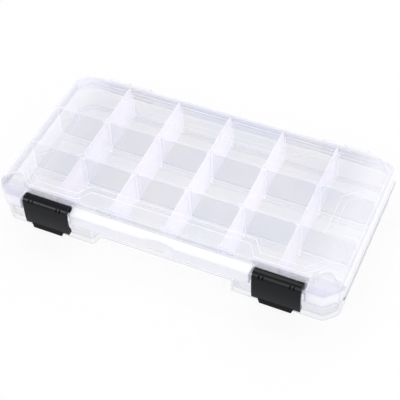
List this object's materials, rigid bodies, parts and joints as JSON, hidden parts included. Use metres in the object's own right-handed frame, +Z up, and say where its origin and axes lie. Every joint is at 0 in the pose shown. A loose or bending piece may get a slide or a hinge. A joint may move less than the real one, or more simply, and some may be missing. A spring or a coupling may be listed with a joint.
{
  "type": "compartment storage box",
  "caption": "Shallow clear compartment case with a hinged lid, black swing latches and lift-out dividers for small craft parts.",
  "frame": {"origin": "centre of the underside, under the middle of the lid's rim", "axes": "+X to the right along the front with the latches, +Y to the back with the hinges, +Z up"},
  "size_m": [0.237, 0.1293, 0.0325],
  "materials": {
    "clear_plastic": "clear, slightly frosted gloss",
    "milky_plastic": "milky, satin gloss",
    "black_plastic": "polished gloss"
  },
  "bodies": {
    "base": {"base_tray": "clear_plastic", "hinge_pin_left": "clear_plastic", "hinge_pin_right": "clear_plastic", "divider_row1_1": "milky_plastic", "divider_row1_2": "milky_plastic", "divider_row1_3": "milky_plastic", "divider_row1_4": "milky_plastic", "divider_row1_5": "milky_plastic", "divider_row2_1": "milky_plastic", "divider_row2_2": "milky_plastic", "divider_row2_3": "milky_plastic", "divider_row2_4": "milky_plastic", "divider_row2_5": "milky_plastic", "divider_row3_1": "milky_plastic", "divider_row3_2": "milky_plastic", "divider_row3_3": "milky_plastic", "divider_row3_4": "milky_plastic", "divider_row3_5": "milky_plastic"},
    "lid": {"lid": "clear_plastic"},
    "latch_left": {"latch_left": "black_plastic"},
    "latch_right": {"latch_right": "black_plastic"}
  },
  "joints": [
    {"name": "lid_hinge", "type": "hinge", "parent": "base", "child": "lid", "pos_m": [0, 0.06355, 0.0232], "axis": [-1, 0, 0], "range_deg": [0, 180]},
    {"name": "latch_left_pivot", "type": "hinge", "parent": "lid", "child": "latch_left", "pos_m": [-0.079, -0.05995, 0.025], "axis": [-1, 0, 0], "range_deg": [0, 115]},
    {"name": "latch_right_pivot", "type": "hinge", "parent": "lid", "child": "latch_right", "pos_m": [0.079, -0.05995, 0.025], "axis": [-1, 0, 0], "range_deg": [0, 115]}
  ]
}
